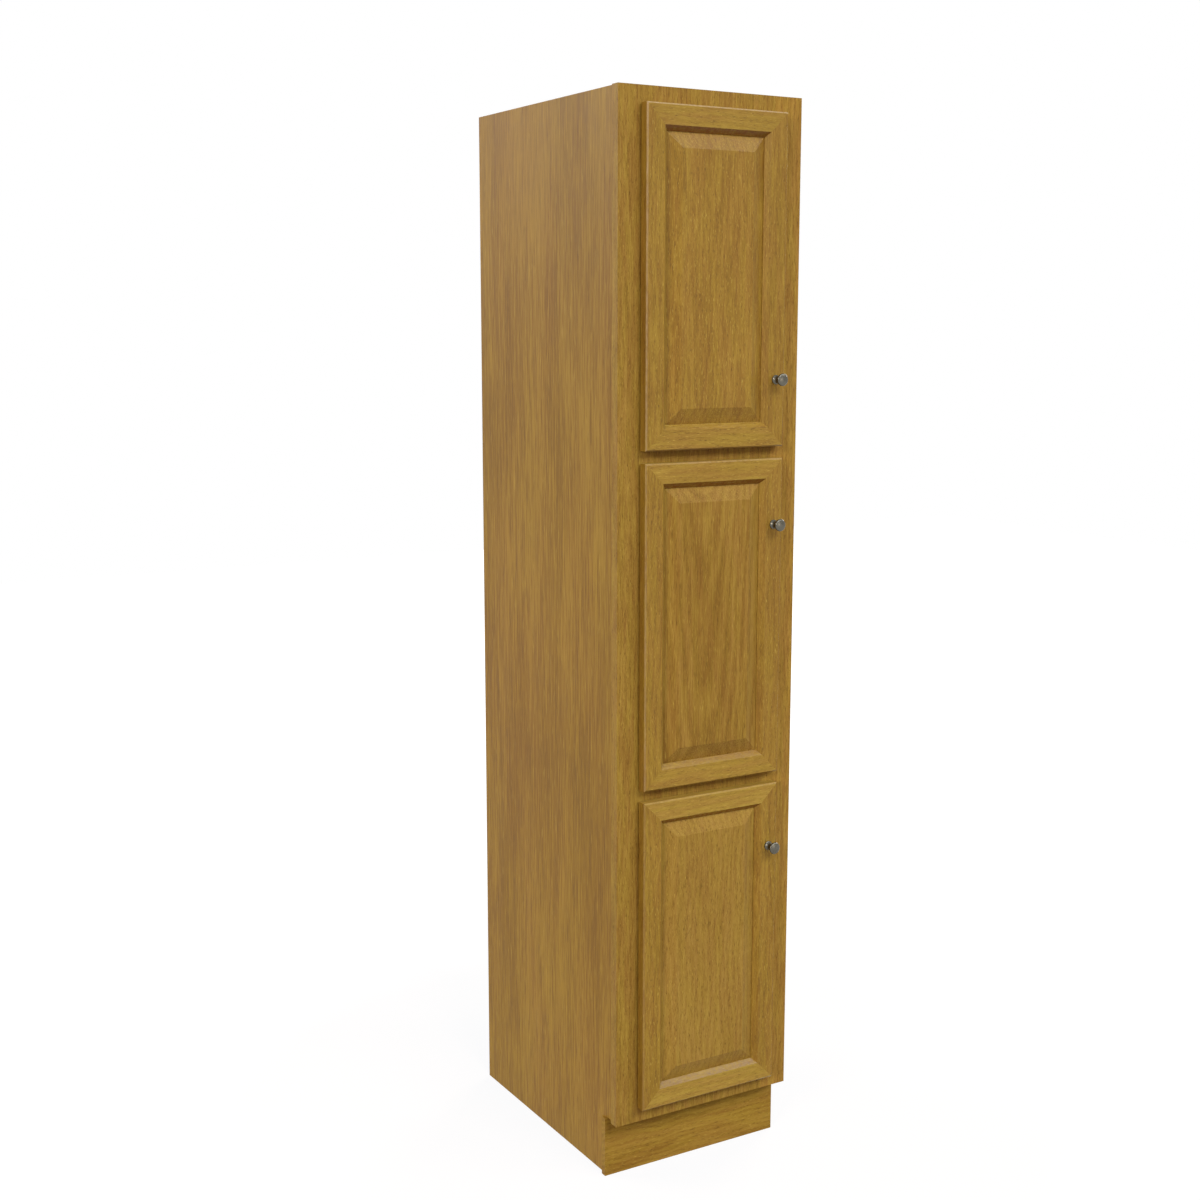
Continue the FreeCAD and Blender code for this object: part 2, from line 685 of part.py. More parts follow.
def hinge_arm_master():
    """The fixed half of a hinge, in the cup's own axes: knuckle, strap, riser, foot and screwed plate."""
    body = add("PartDesign::Body", "hinge_arm_master")
    strap = new_sketch(body, "XY_Plane", "ArmStrap")
    strap_front = "-PinFromBack - KnuckleRadius"
    plate_outer = "DoorOverlay + PlateThickness"
    outline(strap, [
        ("PinFromEdge", strap_front),
        ("RiserOuter", strap_front),
        ("RiserOuter", "FootBack"),
        (plate_outer, "FootBack"),
        (plate_outer, "FootBack - ArmThickness"),
        ("RiserOuter - ArmThickness", "FootBack - ArmThickness"),
        ("RiserOuter - ArmThickness", f"{strap_front} + ArmThickness"),
        ("PinFromEdge", f"{strap_front} + ArmThickness"),
    ])
    extrude("Pad", body, strap, "ArmWidth", "Symmetric")
    knuckle = new_sketch(body, "XY_Plane", "ArmKnuckle")
    circle(knuckle, ("PinFromEdge", "-PinFromBack"), "KnuckleRadius")
    extrude("Pad", body, knuckle, "KnuckleLength", "Symmetric")
    plate = new_sketch(body, "XY_Plane", "ArmPlate")
    rectangle(plate, ("DoorOverlay", "PlateStart"), (plate_outer, "PlateEnd"))
    extrude("Pad", body, plate, "PlateLength", "Symmetric")
    bore = new_sketch(body, "XY_Plane", "ArmBore")
    circle(bore, ("PinFromEdge", "-PinFromBack"), "PinRadius + RunningGap")
    extrude("Pocket", body, bore, "2 * KnuckleLength", "Symmetric")
    screw_holes = new_sketch(body, "YZ_Plane", "PlateHoles")
    for end in SIDES:
        circle(screw_holes, ("PlateScrewDepth", f"{end} * PlateScrewReach"), "ScrewHoleRadius")
    extrude("Pocket", body, screw_holes, "2 * RiserOuter", "Symmetric")
    return body


def bumper(label, level, end):
    item = add("Part::Cone", label)
    bind(item, Radius1="BumperRadius", Radius2="BumperTipRadius", Height="BumperHeight")
    height = f"{door_middle(level)} + {end} * (DoorHeight / 2 - BumperFromEnd)"
    place(item, ("DoorWidth / 2 - BumperInset", DOOR_BACK_Y, height), TO_BACK)
    return item


def hinge_place(height):
    return "-DoorWidth / 2", DOOR_BACK_Y, height


def door_hardware(door, level, masters):
    """Knob, screws, bumpers, hinge cups and hinge pins of one door."""
    node(copy(masters["knob"], f"{door}_knob", knob_place(level, DOOR_FRONT_Y), TO_FRONT))
    node(copy(masters["knob_screw"], f"{door}_knob_screw", knob_place(level, DOOR_BACK_Y), TO_BACK))
    node(group(f"{door}_bumpers", [bumper(f"{door}_bumper", level, end) for end in SIDES]))
    cups = []
    pins = []
    for height in hinge_heights(level):
        cups.append(copy(masters["cup"], f"{door}_cup", hinge_place(height)))
        start = (
            "-DoorWidth / 2 + PinFromEdge",
            f"{DOOR_BACK_Y} - PinFromBack",
            f"{height} - CheekOuter",
        )
        pins.append(rod(f"{door}_pin", "PinRadius", "2 * CheekOuter", start, UPRIGHT))
    node(group(f"{door}_hinge_cups", cups))
    node(group(f"{door}_hinge_pins", pins))
    screws = []
    for position in cup_screw_places(level, "FlangeThickness"):
        screws.append(copy(masters["hinge_screw"], f"{door}_screw", position, TO_BACK))
    node(group(f"{door}_cup_screws", screws))


def door(level, masters):
    """One door: a mitred frame round a raised panel, with its hardware."""
    name = f"{LEVELS[level]}_door"
    holes = door_holes(name, level)
    middle = door_middle(level)
    members = {
        "bottom_rail": ("DoorWidth", ("0", DOOR_BACK_Y, f"{middle} - DoorHeight / 2")),
        "hinge_stile": ("DoorHeight", ("-DoorWidth / 2", DOOR_BACK_Y, middle)),
        "top_rail": ("DoorWidth", ("0", DOOR_BACK_Y, f"{middle} + DoorHeight / 2")),
        "knob_stile": ("DoorHeight", ("DoorWidth / 2", DOOR_BACK_Y, middle)),
    }
    for quarter, (part, (length, position)) in enumerate(members.items()):
        blank = door_member(f"{name}_{part}_blank", length, position, quarter * QUARTER_TURN)
        node(cut(f"{name}_{part}", blank, holes))
    raised_panel(f"{name}_panel", level)
    node(corner_dowels(f"{name}_corner_dowels", level, "CornerDowelRadius", "CornerDowelLength"))
    door_hardware(name, level, masters)


def hinge_arms(masters):
    """The frame's half of every hinge, and the screws that hold it."""
    arms = []
    screws = []
    for level in range(len(LEVELS)):
        for height in hinge_heights(level):
            arms.append(copy(masters["arm"], "hinge_arm", hinge_place(height)))
            for end in SIDES:
                position = (
                    f"-{OPENING_X} + PlateThickness",
                    f"{DOOR_BACK_Y} + PlateScrewDepth",
                    f"{height} + {end} * PlateScrewReach",
                )
                screws.append(copy(masters["hinge_screw"], "hinge_arm_screw", position, TO_RIGHT))
    node(group("hinge_arms", arms))
    node(group("hinge_arm_screws", screws))


def check_document():
    """Stop before anything is written if a piece failed to build."""
    for item in doc.Objects:
        if "Invalid" in item.State or "Error" in item.State:
            raise RuntimeError(f"{item.Label} failed: {item.State}")
    for item in nodes:
        if item.Shape.isNull() or not item.Shape.isValid():
            raise RuntimeError(f"{item.Label} has no valid shape")


def main():
    fill_sheet()
    side_panel("left_side_panel", -1)
    side_panel("right_side_panel", 1)
    box_boards()
    nailer("upper_nailer", CROSS_BOARDS["top_panel"][0])
    nailer("lower_nailer", CROSS_BOARDS["lower_fixed_shelf"][0])
    for level, name in enumerate(("lower", "middle", "upper")):
        adjustable_shelf(f"{name}_adjustable_shelf", level)
    shelf_pins()
    face_frame()
    hinge_screw_head = ("ScrewHeadRadius", "ScrewHeadHeight")
    knob_screw_head = ("KnobScrewHeadRadius", "KnobScrewHeadHeight")
    knob_screw_length = "DoorThickness + KnobScrewReach"
    masters = {
        "knob": knob_master(),
        "cup": hinge_cup_master(),
        "arm": hinge_arm_master(),
        "hinge_screw": screw_master("HingeScrew", "ScrewRadius", "ScrewLength", hinge_screw_head),
        "knob_screw": screw_master("KnobScrew", "KnobScrewRadius", knob_screw_length, knob_screw_head),
    }
    for level in range(len(LEVELS)):
        door(level, masters)
    hinge_arms(masters)
    doc.recompute()
    check_document()
    os.makedirs("parts", exist_ok=True)
    for item in nodes:
        item.Shape.exportStep(f"parts/{item.Label}.step")
    print(len(nodes), "nodes written")


main()
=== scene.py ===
import math

import bpy
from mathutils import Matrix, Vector

# Looks of a linen cabinet: honey oak outside, pale boards inside, dull nickel knobs and plated
# steel hinges. Everything is in metres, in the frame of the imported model: +Z up, doors facing -Y.

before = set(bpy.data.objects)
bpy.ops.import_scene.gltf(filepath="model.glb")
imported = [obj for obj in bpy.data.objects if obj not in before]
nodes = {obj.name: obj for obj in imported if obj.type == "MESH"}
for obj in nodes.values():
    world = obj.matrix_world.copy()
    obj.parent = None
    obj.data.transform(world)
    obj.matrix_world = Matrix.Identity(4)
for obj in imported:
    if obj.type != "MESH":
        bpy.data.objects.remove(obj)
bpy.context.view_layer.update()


# Shader nodes

# The middle of a noise's scale, the part of it where most values lie, and a tighter part of it
NOISE_MIDDLE = 0.5
NOISE_BAND = (0.3, 0.7)
TIGHT_BAND = (0.35, 0.65)

# Detail and roughness of a noise that needs no other
NOISE_DETAIL = 3.0
NOISE_ROUGHNESS = 0.55

# The wave texture repeats after this length at a scale of one
WAVE_LENGTH = math.pi / 10

# The height that a full step of relief stands for
RELIEF_DEPTH = 0.0006


def add_node(tree, kind, inputs=None, **settings):
    """Add a shader node; an input is either a value or another node's output."""
    node = tree.nodes.new(kind)
    for name, setting in settings.items():
        setattr(node, name, setting)
    for name, source in (inputs or {}).items():
        if isinstance(source, bpy.types.NodeSocket):
            tree.links.new(source, node.inputs[name])
        else:
            node.inputs[name].default_value = source
    return node


def object_place(tree):
    """Coordinates that stay with the piece."""
    return add_node(tree, "ShaderNodeTexCoord").outputs["Object"]


def math_node(tree, operation, *sources):
    inputs = dict(enumerate(sources))
    return add_node(tree, "ShaderNodeMath", inputs, operation=operation).outputs[0]


def vector_node(tree, operation, *sources):
    """Vector arithmetic; gives the outputs named Vector and Value."""
    inputs = dict(enumerate(sources))
    return add_node(tree, "ShaderNodeVectorMath", inputs, operation=operation).outputs


def weighted_sum(tree, sources, weights):
    total = math_node(tree, "MULTIPLY", sources[0], weights[0])
    for source, weight in zip(sources[1:], weights[1:]):
        total = math_node(tree, "MULTIPLY_ADD", source, weight, total)
    return total


def stretched_noise(tree, vector, size, detail=NOISE_DETAIL, roughness=NOISE_ROUGHNESS, warp=0.0):
    """Noise drawn out along the grain; size is the length of its features across and along it."""
    across, along = size
    space = vector_node(tree, "MULTIPLY", vector, (1 / across, 1 / across, 1 / along))["Vector"]
    return add_node(tree, "ShaderNodeTexNoise", {
        "Vector": space,
        "Scale": 1.0,
        "Detail": detail,
        "Roughness": roughness,
        "Distortion": warp,
    }).outputs[0]


def remap(tree, source, band, reach=(0.0, 1.0)):
    """Carry one band of values over to another; values beyond its ends are held there."""
    return add_node(tree, "ShaderNodeMapRange", {
        "Value": source,
        "From Min": band[0],
        "From Max": band[1],
        "To Min": reach[0],
        "To Max": reach[1],
    }).outputs[0]


def mix_colour(tree, factor, first, second):
    node = add_node(tree, "ShaderNodeMix", data_type="RGBA")
    for socket, source in (("Factor", factor), ("A", first), ("B", second)):
        target = [entry for entry in node.inputs if entry.name == socket and entry.enabled][0]
        if isinstance(source, bpy.types.NodeSocket):
            tree.links.new(source, target)
        else:
            target.default_value = source
    return [entry for entry in node.outputs if entry.enabled][0]


def ramp(tree, source, positions, colours):
    node = add_node(tree, "ShaderNodeValToRGB", {"Fac": source})
    elements = node.color_ramp.elements
    while len(elements) < len(colours):
        elements.new(NOISE_MIDDLE)
    for element, position, colour in zip(elements, positions, colours):
        element.position = position
        element.color = colour
    return node.outputs["Color"]


def facing(tree, direction, cosines):
    """From 0 to 1 as the cosine between the surface's normal and the direction passes cosines."""
    normal = add_node(tree, "ShaderNodeTexCoord").outputs["Normal"]
    cosine = vector_node(tree, "DOT_PRODUCT", normal, Vector(direction).normalized())["Value"]
    return remap(tree, cosine, cosines)


def bump(tree, shader, height, strength):
    node = add_node(tree, "ShaderNodeBump", {
        "Height": height,
        "Strength": strength,
        "Distance": RELIEF_DEPTH,
    })
    tree.links.new(node.outputs[0], shader.inputs["Normal"])


def new_material(name):
    material = bpy.data.materials.new(name)
    material.use_nodes = True
    tree = material.node_tree
    return material, tree, tree.nodes["Principled BSDF"]


def rgb(red, green, blue):
    return (red, green, blue, 1.0)


# Woods

def toned(wood, shares):
    """The same wood from another board; shares multiply the red, green and blue of its tones."""
    def scaled(tone):
        return rgb(*(share * channel for share, channel in zip(shares, tone)))

    golden = tuple(scaled(tone) for tone in wood["golden"])
    ruddy = tuple(scaled(tone) for tone in wood["ruddy"])
    return dict(wood, golden=golden, ruddy=ruddy)


# Each wood has golden and ruddy tones from dark to light, the colours of its flecks and pores and
# the most that they cover, its least and most roughness, the size of each feature across and along
# the grain, the detail of its figure, the pitch of its rings with their lean in degrees and their
# wobble, the weights of figure, streaks and rings in the tone, and how far from the middle of the
# noise's scale its darkest and lightest tones lie
OAK = {
    "golden": (rgb(0.246, 0.134, 0.016), rgb(0.316, 0.184, 0.023), rgb(0.390, 0.241, 0.034)),
    "ruddy": (rgb(0.238, 0.119, 0.016), rgb(0.306, 0.166, 0.024), rgb(0.376, 0.219, 0.035)),
    "fleck": rgb(0.540, 0.370, 0.068),
    "pore": rgb(0.120, 0.062, 0.012),
    "fleck_share": 0.95,
    "pore_share": 0.80,
    "roughness": (0.38, 0.50),
    "figure": (0.022, 0.170),
    "figure_detail": 4.0,
    "streak": (0.0024, 0.034),
    "tint": (0.0160, 0.120),
    "flecks": (0.0014, 0.0095),
    "pores": (0.0013, 0.0085),
    "fibres": (0.0005, 0.0060),
    "ring_pitch": 0.011,
    "ring_lean": 0.5,
    "ring_wobble": 14.0,
    "weights": (0.34, 0.56, 0.04),
    "spread": 0.112,
}

# Panels of the middle and the bottom door, cut from boards with bolder and with calmer figure
OAK_BOLD = dict(
    toned(OAK, (1.015, 1.030, 1.34)),
    figure=(0.045, 0.450),
    figure_detail=2.0,
    streak=(0.0018, 0.045),
    flecks=(0.0013, 0.0180),
    pores=(0.0012, 0.0160),
    ring_pitch=0.012,
    ring_lean=-4.0,
    ring_wobble=5.0,
    weights=(0.33, 0.54, 0.07),
    spread=0.104,
)
# The calmer board's tones are lighter than OAK's: board tone and painted light that makes up for
# the dimmer light on the bottom door
OAK_CALM = dict(
    OAK,
    golden=(rgb(0.284, 0.165, 0.028), rgb(0.363, 0.224, 0.040), rgb(0.443, 0.290, 0.058)),
    ruddy=(rgb(0.271, 0.147, 0.028), rgb(0.347, 0.203, 0.041), rgb(0.423, 0.263, 0.059)),
    figure=(0.060, 0.300),
    streak=(0.0022, 0.022),
    weights=(0.30, 0.56, 0.06),
    spread=0.150,
)

# The face frame
OAK_FRAME = dict(
    OAK,
    golden=(rgb(0.268, 0.155, 0.025), rgb(0.344, 0.211, 0.035), rgb(0.422, 0.275, 0.049)),
    ruddy=(rgb(0.258, 0.134, 0.025), rgb(0.330, 0.187, 0.036), rgb(0.402, 0.242, 0.050)),
)

# Lighter boards: the doors' rails, and the toe kick with its broader figure
OAK_LIGHT = dict(
    OAK,
    golden=(rgb(0.278, 0.158, 0.020), rgb(0.350, 0.213, 0.029), rgb(0.422, 0.271, 0.042)),
    ruddy=(rgb(0.265, 0.136, 0.020), rgb(0.335, 0.187, 0.030), rgb(0.403, 0.237, 0.043)),
    streak=(0.0022, 0.020),
    weights=(0.30, 0.56, 0.06),
    spread=0.165,
)
OAK_TOE = dict(
    OAK_LIGHT,
    figure=(0.034, 0.240),
    streak=(0.0050, 0.090),
    weights=(0.48, 0.38, 0.08),
    spread=0.125,
)

# The sides' outer faces
OAK_VENEER = dict(
    OAK,
    golden=(rgb(0.246, 0.130, 0.017), rgb(0.316, 0.179, 0.024), rgb(0.390, 0.236, 0.036)),
    ruddy=(rgb(0.240, 0.120, 0.017), rgb(0.308, 0.166, 0.025), rgb(0.378, 0.218, 0.037)),
    fleck_share=0.50,
    pore_share=0.50,
    figure=(0.120, 0.600),
    figure_detail=1.0,
    streak=(0.0038, 0.110),
    tint=(0.1400, 0.700),
    flecks=(0.0034, 0.0400),
    pores=(0.0024, 0.0360),
    fibres=(0.0024, 0.0240),
    ring_pitch=0.030,
    weights=(0.26, 0.63, 0.02),
    spread=0.079,
)

# The pale boards and faces inside and on top
MAPLE = {
    "golden": (rgb(0.565, 0.410, 0.240), rgb(0.650, 0.500, 0.315), rgb(0.710, 0.565, 0.380)),
    "ruddy": (rgb(0.545, 0.385, 0.228), rgb(0.630, 0.475, 0.303), rgb(0.695, 0.545, 0.372)),
    "fleck": rgb(0.740, 0.605, 0.430),
    "pore": rgb(0.490, 0.345, 0.195),
    "fleck_share": 0.25,
    "pore_share": 0.30,
    "roughness": (0.58, 0.68),
    "figure": (0.040, 0.900),
    "figure_detail": 4.0,
    "streak": (0.0036, 0.240),
    "tint": (0.0300, 0.500),
    "flecks": (0.0020, 0.0300),
    "pores": (0.0014, 0.0200),
    "fibres": (0.0006, 0.0100),
    "ring_pitch": 0.018,
    "ring_lean": 0.5,
    "ring_wobble": 9.0,
    "weights": (0.36, 0.46, 0.12),
    "spread": 0.140,
}

# The bare outer face of the thin back
LAUAN = dict(
    MAPLE,
    golden=(rgb(0.330, 0.195, 0.105), rgb(0.395, 0.245, 0.140), rgb(0.455, 0.295, 0.180)),
    ruddy=(rgb(0.315, 0.170, 0.095), rgb(0.380, 0.220, 0.130), rgb(0.440, 0.270, 0.165)),
    fleck=rgb(0.520, 0.360, 0.230),
    pore=rgb(0.190, 0.095, 0.050),
    pore_share=0.70,
    figure=(0.130, 0.900),
    streak=(0.0090, 0.160),
    tint=(0.0700, 0.500),
    pores=(0.0016, 0.0110),
)

# How the features of every wood are drawn
STREAK_DETAIL = 4.0
STREAK_ROUGHNESS = 0.70
TINT_DETAIL = 2.0
SPOT_DETAIL = 2.0
FIBRE_DETAIL = 1.0
BROAD_WARP = 0.4
RING_STRETCH = (1.0, 1.0, 0.35)
RING_EDGES = {"Detail": 3.0, "Detail Scale": 0.5, "Detail Roughness": 0.55}

# Where on the noise's scale a feature begins and where it is full, and what the rings add to pores
TINT_BAND = (0.38, 0.62)
FLECK_BAND = (0.60, 0.76)
PORE_BAND = (0.46, 0.26)
RING_IN_PORES = 0.05

# Heights of streaks, fibres and pores in a wood's relief, and how strongly the relief shows
RELIEF_WEIGHTS = (0.6, 0.5, -1.0)
WOOD_RELIEF = 0.25

# Turns that bring a board's grain to the upright axis of its texture
GRAIN_UP = (0.0, 0.0, 0.0)
GRAIN_ACROSS = (0.0, math.radians(90.0), 0.0)


def growth_rings(tree, vector, wood):
    """Rings around the heart of the log, which leans a little from the board's length."""
    lean = add_node(tree, "ShaderNodeMapping", {
        "Vector": vector,
        "Rotation": (math.radians(wood["ring_lean"]), 0.0, 0.0),
    }).outputs[0]
    return add_node(tree, "ShaderNodeTexWave", {
        "Vector": vector_node(tree, "MULTIPLY", lean, RING_STRETCH)["Vector"],
        "Scale": WAVE_LENGTH / wood["ring_pitch"],
        "Distortion": wood["ring_wobble"],
        **RING_EDGES,
    }, wave_type="RINGS", rings_direction="Z").outputs["Fac"]


def wood_group(name, wood):
    """Wood with its grain along Z: broad figure, rings, streaks, bright flecks and dark pores."""
    tree = bpy.data.node_groups.new(name, "ShaderNodeTree")
    tree.interface.new_socket("Vector", in_out="INPUT", socket_type="NodeSocketVector")
    tree.interface.new_socket("Color", in_out="OUTPUT", socket_type="NodeSocketColor")
    tree.interface.new_socket("Roughness", in_out="OUTPUT", socket_type="NodeSocketFloat")
    tree.interface.new_socket("Height", in_out="OUTPUT", socket_type="NodeSocketFloat")
    vector = add_node(tree, "NodeGroupInput").outputs[0]
    figure = stretched_noise(tree, vector, wood["figure"], wood["figure_detail"], warp=BROAD_WARP)
    streak = stretched_noise(tree, vector, wood["streak"], STREAK_DETAIL, STREAK_ROUGHNESS)
    tint = stretched_noise(tree, vector, wood["tint"], TINT_DETAIL, warp=BROAD_WARP)
    fleck = stretched_noise(tree, vector, wood["flecks"], SPOT_DETAIL)
    pore = stretched_noise(tree, vector, wood["pores"], SPOT_DETAIL)
    fibre = stretched_noise(tree, vector, wood["fibres"], FIBRE_DETAIL)
    rings = growth_rings(tree, vector, wood)
    fibre_weight = 1.0 - sum(wood["weights"])
    weights = (*wood["weights"], fibre_weight)
    tone = weighted_sum(tree, (figure, streak, rings, fibre), weights)
    stops = (NOISE_MIDDLE - wood["spread"], NOISE_MIDDLE, NOISE_MIDDLE + wood["spread"])
    golden = ramp(tree, tone, stops, wood["golden"])
    ruddy = ramp(tree, tone, stops, wood["ruddy"])
    colour = mix_colour(tree, remap(tree, tint, TINT_BAND), golden, ruddy)
    bright = remap(tree, fleck, FLECK_BAND, (0.0, wood["fleck_share"]))
    colour = mix_colour(tree, bright, colour, wood["fleck"])
    porous = math_node(tree, "MULTIPLY_ADD", rings, RING_IN_PORES, pore)
    dark = remap(tree, porous, PORE_BAND, (0.0, wood["pore_share"]))
    colour = mix_colour(tree, dark, colour, wood["pore"])
    roughness = remap(tree, streak, NOISE_BAND, wood["roughness"])
    height = weighted_sum(tree, (streak, fibre, dark), RELIEF_WEIGHTS)
    add_node(tree, "NodeGroupOutput", {"Color": colour, "Roughness": roughness, "Height": height})
    return tree


def wood_nodes(tree, group, turn, shift):
    """One board's own piece of a wood group: the board's own coordinates, turned and shifted."""
    space = add_node(tree, "ShaderNodeMapping", {
        "Vector": object_place(tree),
        "Rotation": turn,
        "Location": shift,
    }).outputs[0]
    return add_node(tree, "ShaderNodeGroup", {"Vector": space}, node_tree=group)


# Boards and sheets

# Specular levels: lacquered doors, duller boards and sheets, the frame and toe kick, bare boards
LACQUER_GLOSS = 0.22
DULL_GLOSS = 0.10
FRAME_GLOSS = 0.09
BARE_GLOSS = 0.03

# Pale patches on a door's outer chamfers: bare wood where the finish is rubbed off, and a painted
# highlight where the edges catch the lamps
WEAR_AND_HIGHLIGHT = rgb(0.570, 0.425, 0.270)
# A greyish painted sheen on the ledge below a panel, where the bottom rail's chamfer faces up
# towards a lamp
PAINTED_SHEEN = rgb(0.300, 0.205, 0.140)
# Painted shade, dark and red, on the chamfer under the rail above a panel, where little light
# reaches
PAINTED_SHADE = rgb(0.255, 0.100, 0.019)

# Patches along a chamfer: their size, where on the noise's scale they begin and are full, what
# share of the most shows between them, and how much smoother the chamfer is than the board
PATCH_SIZE = (0.006, 0.020)
PATCH_BAND = (0.35, 0.60)
PATCH_LEAST = 0.4
CHAMFER_POLISH = -0.20

# Plies on the bare edges of a sheet, their weight beside the splinters', and the splinters
PLY_PITCH = 0.0042
PLY_EDGES = {"Distortion": 0.6, "Detail": 2.0, "Detail Scale": 0.4}
PLY_TONES = (rgb(0.330, 0.205, 0.095), rgb(0.520, 0.370, 0.200))
PLY_WEIGHTS = (0.4, 0.6)
SPLINTER_SIZE = (0.0016, 0.0045)
SPLINTER_DETAIL = 4.0

# The look of a chamfer or of a sheet's face sets in between these cosines from the way it faces
CHAMFER_COSINES = (0.96, 0.99)
FACE_COSINES = (0.45, 0.55)


def chamfer_wear_and_painted_light(tree, colour, roughness, outward, most, shown):
    """A chamfer that faces outward: smoother, with patches of a given colour, which is wear with a
    painted highlight on a door's outer edges, a painted sheen on a ledge and painted shade under a
    top rail.
    """
    noise = stretched_noise(tree, object_place(tree), PATCH_SIZE)
    patches = remap(tree, noise, PATCH_BAND, (PATCH_LEAST * most, most))
    on_edge = facing(tree, outward, CHAMFER_COSINES)
    colour = mix_colour(tree, math_node(tree, "MULTIPLY", on_edge, patches), colour, shown)
    polish = math_node(tree, "MULTIPLY_ADD", on_edge, CHAMFER_POLISH, roughness)
    return colour, polish


def board_material(name, group, turn, shift, gloss=LACQUER_GLOSS, chamfers=()):
    """A solid board; a chamfer has the way it faces, the most share of a colour, and the colour."""
    material, tree, shader = new_material(name)
    wood = wood_nodes(tree, group, turn, shift)
    colour = wood.outputs["Color"]
    roughness = wood.outputs["Roughness"]
    for chamfer in chamfers:
        colour, roughness = chamfer_wear_and_painted_light(tree, colour, roughness, *chamfer)
    tree.links.new(colour, shader.inputs["Base Color"])
    tree.links.new(roughness, shader.inputs["Roughness"])
    shader.inputs["Specular IOR Level"].default_value = gloss
    bump(tree, shader, wood.outputs["Height"], WOOD_RELIEF)
    return material


def ply_edge(tree, axis):
    """Colour of a sheet's bare edges: plies side by side along the axis through its thickness."""
    place = object_place(tree)
    plies = add_node(tree, "ShaderNodeTexWave", {
        "Vector": place,
        "Scale": WAVE_LENGTH / PLY_PITCH,
        **PLY_EDGES,
    }, bands_direction=axis).outputs["Fac"]
    splinters = stretched_noise(tree, place, SPLINTER_SIZE, SPLINTER_DETAIL)
    tone = weighted_sum(tree, (plies, splinters), PLY_WEIGHTS)
    return ramp(tree, tone, TIGHT_BAND, PLY_TONES)


def sheet_material(name, outer, inner, outward, shift):
    """A sheet of the case: one veneer outside, another inside and bare plies on the edges."""
    material, tree, shader = new_material(name)
    outer_face = wood_nodes(tree, outer, GRAIN_UP, shift)
    inner_face = wood_nodes(tree, inner, GRAIN_UP, shift)
    outside = facing(tree, outward, FACE_COSINES)
    inside = facing(tree, -Vector(outward), FACE_COSINES)
    edges = ply_edge(tree, "X" if outward[0] else "Y")
    colour = mix_colour(tree, inside, edges, inner_face.outputs["Color"])
    colour = mix_colour(tree, outside, colour, outer_face.outputs["Color"])
    tree.links.new(colour, shader.inputs["Base Color"])
    tree.links.new(outer_face.outputs["Roughness"], shader.inputs["Roughness"])
    shader.inputs["Specular IOR Level"].default_value = DULL_GLOSS
    bump(tree, shader, outer_face.outputs["Height"], WOOD_RELIEF)
    return material


# Metal and rubber

# Each metal has its colour, its least and most roughness, and the size of its uneven patches
NICKEL = ((0.122, 0.115, 0.092), (0.20, 0.32), 0.003)
STEEL = ((0.62, 0.62, 0.60), (0.24, 0.38), 0.004)
METAL_SHADE = 0.90
METAL_RELIEF = 0.02

RUBBER_TONES = (rgb(0.60, 0.58, 0.52), rgb(0.76, 0.75, 0.70))
RUBBER_ROUGHNESS = (0.45, 0.65)
RUBBER_SPECKLE = 0.0008


def metal_material(name, colour, roughness, patch):
    """Plated metal with faint uneven polish."""
    material, tree, shader = new_material(name)
    polish = stretched_noise(tree, object_place(tree), (patch, patch))
    darker = tuple(METAL_SHADE * channel for channel in colour)
    tone = mix_colour(tree, remap(tree, polish, TIGHT_BAND), rgb(*darker), rgb(*colour))
    tree.links.new(tone, shader.inputs["Base Color"])
    tree.links.new(remap(tree, polish, NOISE_BAND, roughness), shader.inputs["Roughness"])
    shader.inputs["Metallic"].default_value = 1.0
    bump(tree, shader, polish, METAL_RELIEF)
    return material


def rubber_material():
    material, tree, shader = new_material("rubber_stop")
    speckle = stretched_noise(tree, object_place(tree), (RUBBER_SPECKLE, RUBBER_SPECKLE))
    tree.links.new(ramp(tree, speckle, NOISE_BAND, RUBBER_TONES), shader.inputs["Base Color"])
    roughness = remap(tree, speckle, NOISE_BAND, RUBBER_ROUGHNESS)
    tree.links.new(roughness, shader.inputs["Roughness"])
    return material


# Pieces

# Each board shows its own stretch of the texture, which lies its seed times this step away. The
# doors' seeds are given further down, and the pale boards count on from the first one's
SEED_STEP = Vector((0.731, 0.417, 1.913))
FRAME_SEED = 1
LEFT_SIDE_SEED = 2
RIGHT_SIDE_SEED = 3
TOE_SEED = 4
PALE_SEED = 20
BACK_SEED = 29
DOWEL_SEED = 30

# Each door has its panel's wood and gloss, the way from the heart of the log to the panel's middle,
# how much lighter its rails are painted, as painted light for the light that falls off downwards,
# how strong its outer edges' wear and painted highlight are beside the top door's, the highlight
# fading downwards, the most painted sheen on its ledge, which grows downwards, and the seed of the
# first of its boards
DOORS = {
    "bottom_door": {
        "panel": OAK_CALM,
        "panel_gloss": DULL_GLOSS,
        "from_heart": (3.655, 1.815, 9.991),
        "rail_painted_light": (1.14, 1.23, 1.34),
        "wear_and_highlight": 0.30,
        "ledge_sheen": 0.50,
        "seed": 6,
    },
    "middle_door": {
        "panel": OAK_BOLD,
        "panel_gloss": DULL_GLOSS,
        "from_heart": (0.020, -0.060, 0.000),
        "rail_painted_light": (1.045, 1.08, 1.10),
        "wear_and_highlight": 0.65,
        "ledge_sheen": 0.25,
        "seed": 11,
    },
    "top_door": {
        "panel": OAK,
        "panel_gloss": LACQUER_GLOSS,
        "from_heart": (10.965, 5.985, 30.333),
        "rail_painted_light": (1.0, 1.03, 1.03),
        "wear_and_highlight": 1.0,
        "ledge_sheen": 0.05,
        "seed": 16,
    },
}

